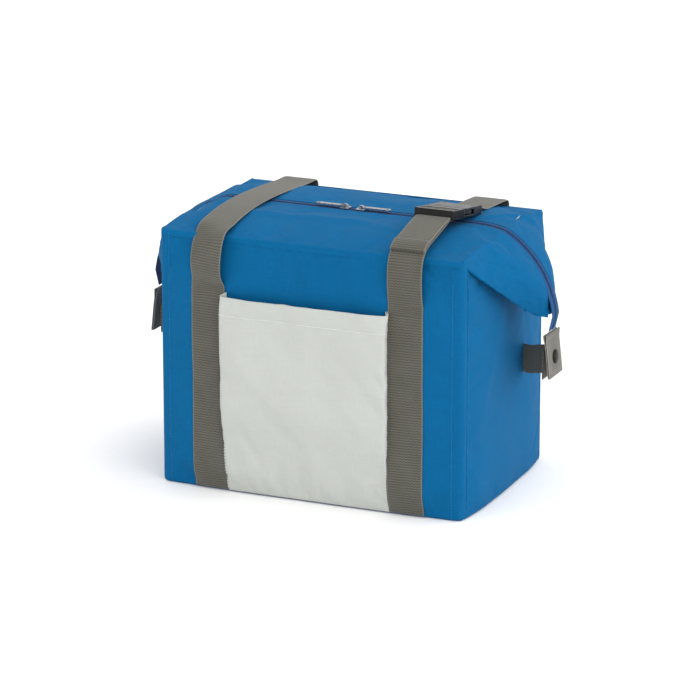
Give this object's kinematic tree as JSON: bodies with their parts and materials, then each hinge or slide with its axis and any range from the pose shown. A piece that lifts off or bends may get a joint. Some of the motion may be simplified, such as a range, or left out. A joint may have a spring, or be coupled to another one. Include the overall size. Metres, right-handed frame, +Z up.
{
  "type": "insulated cooler bag",
  "caption": "Soft insulated box bag with a zipped top whose ends fold down as ears, a front pocket, two webbing carry straps and a side-release buckle.",
  "frame": {"origin": "centre of the base's underside", "axes": "+X to the bag's right seen from the front, -Y out of the pocket's face, +Z up"},
  "size_m": [0.4576, 0.2472, 0.3085],
  "materials": {
    "cover_fabric": "matte",
    "foam": "matte",
    "lining": "satin",
    "pocket_fabric": "matte",
    "zip_tape": "matte",
    "zip_metal": "satin",
    "webbing": "matte",
    "snap_metal": "satin",
    "buckle_plastic": "satin"
  },
  "bodies": {
    "root": {"base_panel": "cover_fabric", "front_panel": "cover_fabric", "rear_panel": "cover_fabric", "left_panel": "cover_fabric", "right_panel": "cover_fabric", "base_foam": "foam", "front_foam": "foam", "rear_foam": "foam", "left_foam": "foam", "right_foam": "foam", "liner": "lining", "front_pocket": "pocket_fabric", "left_snap_strap": "webbing", "right_snap_strap": "webbing", "left_snap_stud": "snap_metal", "right_snap_stud": "snap_metal", "left_strap_front": "webbing", "left_strap_loop": "webbing", "left_strap_rear": "webbing", "right_strap_front": "webbing", "right_strap_front_loop": "webbing", "right_strap_tail": "webbing", "right_strap_rear_loop": "webbing", "right_strap_rear": "webbing", "buckle_female": "buckle_plastic"},
    "front_flap": {"front_flap_cover": "cover_fabric", "front_flap_foam": "foam", "front_flap_liner": "lining", "front_zip_tape": "zip_tape"},
    "rear_flap": {"rear_flap_cover": "cover_fabric", "rear_flap_foam": "foam", "rear_flap_liner": "lining", "rear_zip_tape": "zip_tape"},
    "left_zip_slider": {"left_zip_slider": "zip_metal"},
    "left_zip_pull": {"left_zip_pull": "zip_metal"},
    "left_ear": {"left_ear": "cover_fabric", "left_ear_zip": "zip_tape"},
    "left_tab": {"left_tab": "webbing", "left_snap_cap": "snap_metal", "left_snap_socket": "snap_metal"},
    "right_zip_slider": {"right_zip_slider": "zip_metal"},
    "right_zip_pull": {"right_zip_pull": "zip_metal"},
    "right_ear": {"right_ear": "cover_fabric", "right_ear_zip": "zip_tape"},
    "right_tab": {"right_tab": "webbing", "right_snap_cap": "snap_metal", "right_snap_socket": "snap_metal"},
    "buckle_male": {"buckle_male": "buckle_plastic"},
    "buckle_left_arm": {"buckle_left_arm": "buckle_plastic"},
    "buckle_right_arm": {"buckle_right_arm": "buckle_plastic"}
  },
  "joints": [
    {"name": "front_flap_fold", "type": "hinge", "parent": "root", "child": "front_flap", "pos_m": [0, -0.1067, 0.271], "axis": [-1, 0, 0], "range_deg": [0, 75]},
    {"name": "rear_flap_fold", "type": "hinge", "parent": "root", "child": "rear_flap", "pos_m": [0, 0.1067, 0.271], "axis": [1, 0, 0], "range_deg": [0, 75]},
    {"name": "left_zip_slide", "type": "slide", "parent": "front_flap", "child": "left_zip_slider", "axis": [-1, 0, 0], "range_m": [0, 0.13]},
    {"name": "left_pull_swing", "type": "hinge", "parent": "left_zip_slider", "child": "left_zip_pull", "pos_m": [-0.009, 0, 0.28825], "axis": [0, 1, 0], "range_deg": [0, 110]},
    {"name": "left_ear_lift", "type": "hinge", "parent": "root", "child": "left_ear", "pos_m": [-0.17, 0, 0.275], "axis": [0, 1, 0], "range_deg": [0, 60]},
    {"name": "left_tab_lift", "type": "hinge", "parent": "left_ear", "child": "left_tab", "pos_m": [-0.2215, 0, 0.1785], "axis": [0, 1, 0], "range_deg": [0, 90]},
    {"name": "right_zip_slide", "type": "slide", "parent": "front_flap", "child": "right_zip_slider", "axis": [1, 0, 0], "range_m": [0, 0.13]},
    {"name": "right_pull_swing", "type": "hinge", "parent": "right_zip_slider", "child": "right_zip_pull", "pos_m": [0.009, 0, 0.28825], "axis": [0, -1, 0], "range_deg": [0, 110]},
    {"name": "right_ear_lift", "type": "hinge", "parent": "root", "child": "right_ear", "pos_m": [0.17, 0, 0.275], "axis": [0, -1, 0], "range_deg": [0, 60]},
    {"name": "right_tab_lift", "type": "hinge", "parent": "right_ear", "child": "right_tab", "pos_m": [0.2215, 0, 0.1785], "axis": [0, -1, 0], "range_deg": [0, 90]},
    {"name": "buckle_slide", "type": "slide", "parent": "root", "child": "buckle_male", "axis": [0, -0.9877, 0.1564], "range_m": [0, 0.032], "deforming": ["right_strap_front_loop", "right_strap_tail"]},
    {"name": "buckle_left_squeeze", "type": "hinge", "parent": "buckle_male", "child": "buckle_left_arm", "pos_m": [0.094, -0.01506, 0.29849], "axis": [0, -0.1564, -0.9877], "range_deg": [0, 6], "stiffness_Nm_per_rad": 0.3},
    {"name": "buckle_right_squeeze", "type": "hinge", "parent": "buckle_male", "child": "buckle_right_arm", "pos_m": [0.126, -0.01506, 0.29849], "axis": [0, 0.1564, 0.9877], "range_deg": [0, 6], "stiffness_Nm_per_rad": 0.3}
  ]
}
